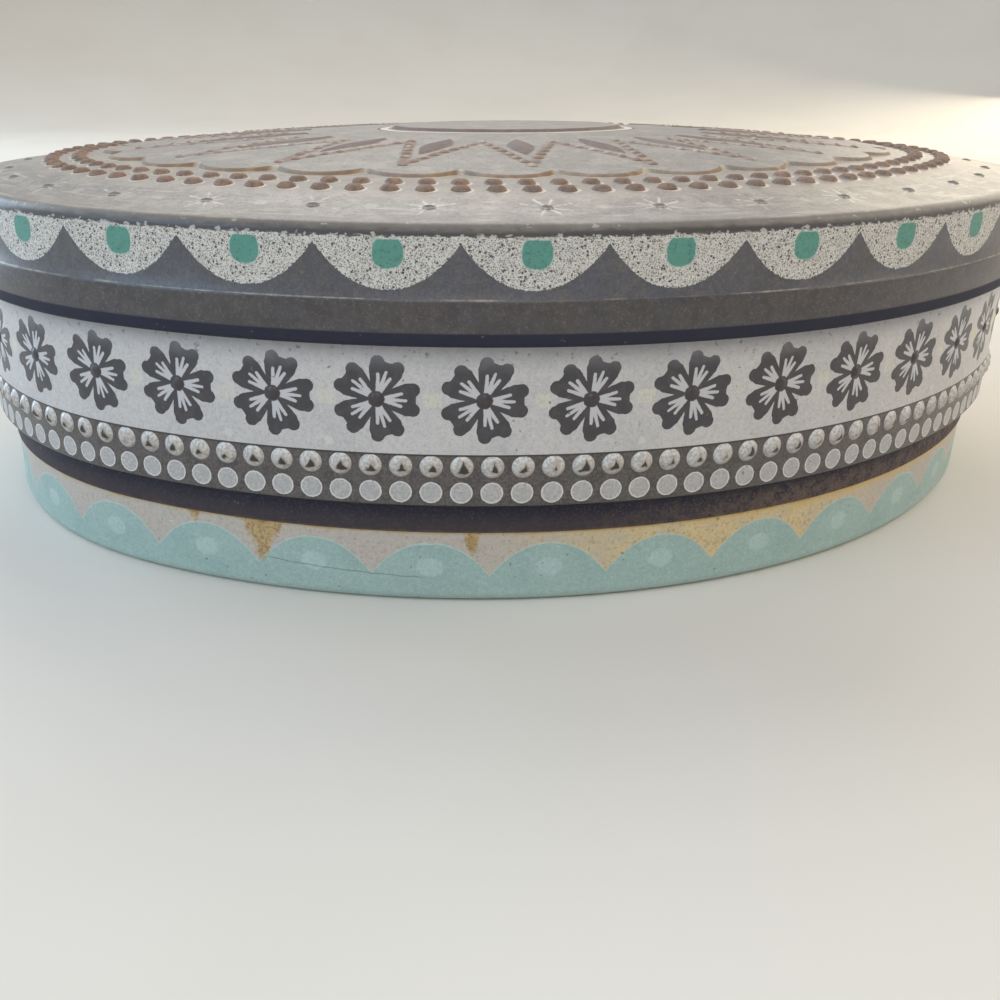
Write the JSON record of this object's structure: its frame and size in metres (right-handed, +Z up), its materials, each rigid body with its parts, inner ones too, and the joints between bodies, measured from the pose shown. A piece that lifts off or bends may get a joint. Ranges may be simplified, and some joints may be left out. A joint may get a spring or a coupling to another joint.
{
  "type": "oval tin box",
  "caption": "Shallow oval storage tin of printed sheet metal, with a pressed lid that lifts off and a row of bosses round the wall.",
  "frame": {"origin": "middle of the flat underside, on the surface that the tin stands on", "axes": "+X along the long axis, +Y from the front side to the back, +Z up"},
  "size_m": [0.3066, 0.2406, 0.096],
  "materials": {
    "foot_print": "tinplate printed with pale green arches on sand, worn at the bottom edge, rust at the seam",
    "wall_print": "silvery printed tinplate with dark flowers, satin, pressed bosses rubbed bright",
    "lid_print": "slate grey printed tinplate with a stippled scalloped skirt, satin, worn along the edges"
  },
  "bodies": {
    "box": {"base_pan": "foot_print", "body_wall": "wall_print"},
    "lid": {"lid_shell": "lid_print"}
  },
  "joints": [
    {"name": "lid_lift", "type": "slide", "parent": "box", "child": "lid", "axis": [0, 0, 1], "range_m": [0, 0.1]}
  ]
}
